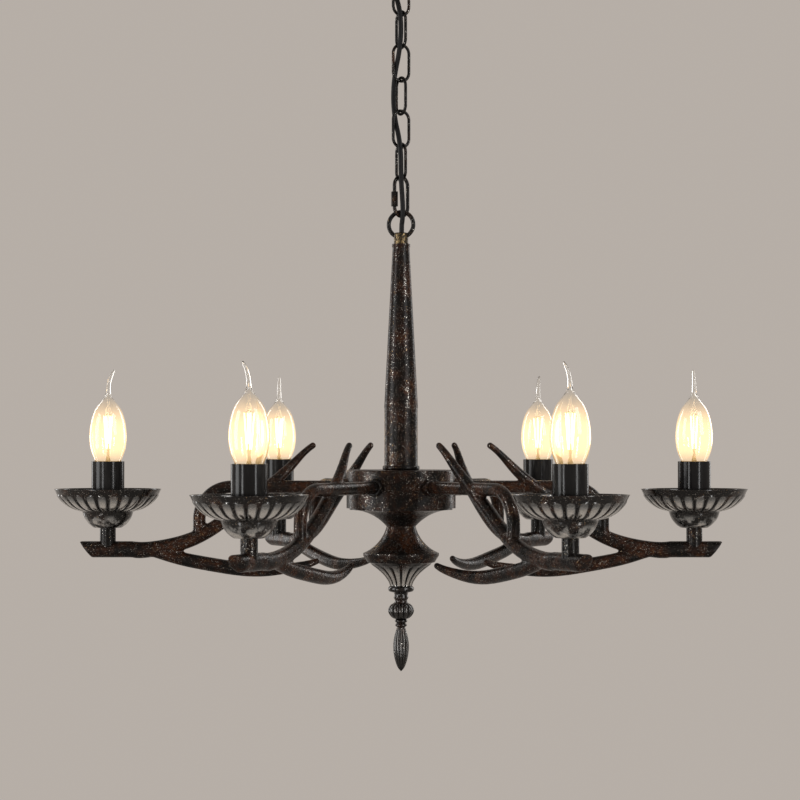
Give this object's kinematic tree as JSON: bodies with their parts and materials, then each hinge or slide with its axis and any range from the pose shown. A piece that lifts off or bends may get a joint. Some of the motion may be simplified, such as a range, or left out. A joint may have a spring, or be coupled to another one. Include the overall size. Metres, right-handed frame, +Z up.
{
  "type": "chain-hung chandelier",
  "caption": "Chain-hung chandelier with antler-like arms, fluted drip bowls, black candle sleeves and flame-tip screw bulbs round a tapered column and a turned hub.",
  "frame": {"origin": "on the ceiling plane, midway between the two ceiling screws, on the chandelier's axis", "axes": "+Z up out of the ceiling fitting, +X along the ceiling bracket and the first arm, -Y towards the viewer of the picture"},
  "size_m": [0.6554, 0.593, 0.7149],
  "materials": {
    "antiqued_brown_black": "black-brown lacquer rubbed back to fine bronze and silver speckle",
    "brushed_black": "black with silver brushed over the raised flutes",
    "chain_black": "satin black",
    "bronze": "dull bronze",
    "plated_steel": "zinc plated",
    "insulation": "matt moulded",
    "cord_black": "matt sheath",
    "sleeve_black": "gloss",
    "cap_metal": "nickel plated",
    "lamp_glass": "clear"
  },
  "bodies": {
    "canopy": {"ceiling_bracket": "plated_steel", "canopy_cover": "antiqued_brown_black", "canopy_nipple": "plated_steel", "canopy_lock_nuts": "plated_steel", "canopy_loop": "chain_black", "terminal_block": "insulation", "supply_cord": "cord_black"},
    "chain_link_1": {"chain_link_1": "chain_black"},
    "chain_link_2": {"chain_link_2": "chain_black"},
    "chain_link_3": {"chain_link_3": "chain_black"},
    "chain_link_4": {"chain_link_4": "chain_black"},
    "chain_link_5": {"chain_link_5": "chain_black"},
    "chain_link_6": {"chain_link_6": "chain_black"},
    "quick_link": {"quick_link": "chain_black"},
    "quick_link_nut": {"quick_link_nut": "chain_black"},
    "fixture": {"suspension_ring": "chain_black", "ring_collar": "bronze", "tapered_column": "antiqued_brown_black", "column_sleeve": "antiqued_brown_black", "column_base_ring": "antiqued_brown_black", "threaded_tube": "plated_steel", "hub_drum": "antiqued_brown_black", "hub_cone": "antiqued_brown_black", "hub_flare": "antiqued_brown_black", "fluted_cup": "brushed_black", "finial_knob": "brushed_black", "finial_spindle": "brushed_black", "hub_lock_nuts": "plated_steel", "terminal_ring": "insulation", "arm_collars": "antiqued_brown_black", "arm_lock_nuts": "plated_steel", "arm_wires": "cord_black", "lamp_stems": "antiqued_brown_black", "candle_sleeves": "sleeve_black", "lampholders": "insulation", "antler_arm_1": "antiqued_brown_black", "antler_arm_2": "antiqued_brown_black", "antler_arm_3": "antiqued_brown_black", "antler_arm_4": "antiqued_brown_black", "antler_arm_5": "antiqued_brown_black", "antler_arm_6": "antiqued_brown_black", "drip_bowl_1": "brushed_black", "drip_bowl_2": "brushed_black", "drip_bowl_3": "brushed_black", "drip_bowl_4": "brushed_black", "drip_bowl_5": "brushed_black", "drip_bowl_6": "brushed_black"},
    "bulb_1_cap": {"bulb_cap_1": "cap_metal"},
    "bulb_1_glass": {"bulb_glass_1": "lamp_glass"},
    "bulb_2_cap": {"bulb_cap_2": "cap_metal"},
    "bulb_2_glass": {"bulb_glass_2": "lamp_glass"},
    "bulb_3_cap": {"bulb_cap_3": "cap_metal"},
    "bulb_3_glass": {"bulb_glass_3": "lamp_glass"},
    "bulb_4_cap": {"bulb_cap_4": "cap_metal"},
    "bulb_4_glass": {"bulb_glass_4": "lamp_glass"},
    "bulb_5_cap": {"bulb_cap_5": "cap_metal"},
    "bulb_5_glass": {"bulb_glass_5": "lamp_glass"},
    "bulb_6_cap": {"bulb_cap_6": "cap_metal"},
    "bulb_6_glass": {"bulb_glass_6": "lamp_glass"}
  },
  "joints": [
    {"name": "chain_swing_1", "type": "hinge", "parent": "canopy", "child": "chain_link_1", "pos_m": [0, 0, -0.063], "axis": [0.5, -0.866, 0], "range_deg": [-12, 12], "deforming": ["supply_cord"]},
    {"name": "chain_swing_2", "type": "hinge", "parent": "chain_link_1", "child": "chain_link_2", "pos_m": [0, 0, -0.09385], "axis": [0.866, 0.5, 0], "range_deg": [-12, 12], "deforming": ["supply_cord"]},
    {"name": "chain_swing_3", "type": "hinge", "parent": "chain_link_2", "child": "chain_link_3", "pos_m": [0, 0, -0.12525], "axis": [0.5, -0.866, 0], "range_deg": [-12, 12], "deforming": ["supply_cord"]},
    {"name": "chain_swing_4", "type": "hinge", "parent": "chain_link_3", "child": "chain_link_4", "pos_m": [0, 0, -0.15665], "axis": [0.866, 0.5, 0], "range_deg": [-12, 12], "deforming": ["supply_cord"]},
    {"name": "chain_swing_5", "type": "hinge", "parent": "chain_link_4", "child": "chain_link_5", "pos_m": [0, 0, -0.18805], "axis": [0.5, -0.866, 0], "range_deg": [-12, 12], "deforming": ["supply_cord"]},
    {"name": "chain_swing_6", "type": "hinge", "parent": "chain_link_5", "child": "chain_link_6", "pos_m": [0, 0, -0.21945], "axis": [0.866, 0.5, 0], "range_deg": [-12, 12], "deforming": ["supply_cord"]},
    {"name": "connector_swing", "type": "hinge", "parent": "chain_link_6", "child": "quick_link", "pos_m": [0, 0, -0.25085], "axis": [0.5, -0.866, 0], "range_deg": [-12, 12], "deforming": ["supply_cord"]},
    {"name": "ring_swing", "type": "hinge", "parent": "quick_link", "child": "fixture", "pos_m": [0, 0, -0.28485], "axis": [0.7071, 0.7071, 0], "range_deg": [-12, 12], "deforming": ["supply_cord"]},
    {"name": "sleeve_nut_travel", "type": "slide", "parent": "quick_link", "child": "quick_link_nut", "axis": [0, 0, 1], "range_m": [0, 0.0055]},
    {"name": "bulb_1_rise", "type": "slide", "parent": "fixture", "child": "bulb_1_cap", "axis": [0, 0, 1], "range_m": [0, 0.0113]},
    {"name": "bulb_1_turn", "type": "hinge", "parent": "bulb_1_cap", "child": "bulb_1_glass", "pos_m": [0.277, 0, -0.5168], "axis": [0, 0, 1], "range_deg": [0, 1440]},
    {"name": "bulb_2_rise", "type": "slide", "parent": "fixture", "child": "bulb_2_cap", "axis": [0, 0, 1], "range_m": [0, 0.0113]},
    {"name": "bulb_2_turn", "type": "hinge", "parent": "bulb_2_cap", "child": "bulb_2_glass", "pos_m": [0.14308, 0.23719, -0.5168], "axis": [0, 0, 1], "range_deg": [0, 1440]},
    {"name": "bulb_3_rise", "type": "slide", "parent": "fixture", "child": "bulb_3_cap", "axis": [0, 0, 1], "range_m": [0, 0.0113]},
    {"name": "bulb_3_turn", "type": "hinge", "parent": "bulb_3_cap", "child": "bulb_3_glass", "pos_m": [-0.1279, 0.2457, -0.5168], "axis": [0, 0, 1], "range_deg": [0, 1440]},
    {"name": "bulb_4_rise", "type": "slide", "parent": "fixture", "child": "bulb_4_cap", "axis": [0, 0, 1], "range_m": [0, 0.0113]},
    {"name": "bulb_4_turn", "type": "hinge", "parent": "bulb_4_cap", "child": "bulb_4_glass", "pos_m": [-0.277, 0, -0.5168], "axis": [0, 0, 1], "range_deg": [0, 1440]},
    {"name": "bulb_5_rise", "type": "slide", "parent": "fixture", "child": "bulb_5_cap", "axis": [0, 0, 1], "range_m": [0, 0.0113]},
    {"name": "bulb_5_turn", "type": "hinge", "parent": "bulb_5_cap", "child": "bulb_5_glass", "pos_m": [-0.1279, -0.2457, -0.5168], "axis": [0, 0, 1], "range_deg": [0, 1440]},
    {"name": "bulb_6_rise", "type": "slide", "parent": "fixture", "child": "bulb_6_cap", "axis": [0, 0, 1], "range_m": [0, 0.0113]},
    {"name": "bulb_6_turn", "type": "hinge", "parent": "bulb_6_cap", "child": "bulb_6_glass", "pos_m": [0.14308, -0.23719, -0.5168], "axis": [0, 0, 1], "range_deg": [0, 1440]}
  ],
  "couplings": [
    {"joint": "bulb_1_rise", "follows": "bulb_1_turn", "m_per_rad": 0.00044882},
    {"joint": "bulb_2_rise", "follows": "bulb_2_turn", "m_per_rad": 0.00044882},
    {"joint": "bulb_3_rise", "follows": "bulb_3_turn", "m_per_rad": 0.00044882},
    {"joint": "bulb_4_rise", "follows": "bulb_4_turn", "m_per_rad": 0.00044882},
    {"joint": "bulb_5_rise", "follows": "bulb_5_turn", "m_per_rad": 0.00044882},
    {"joint": "bulb_6_rise", "follows": "bulb_6_turn", "m_per_rad": 0.00044882}
  ]
}
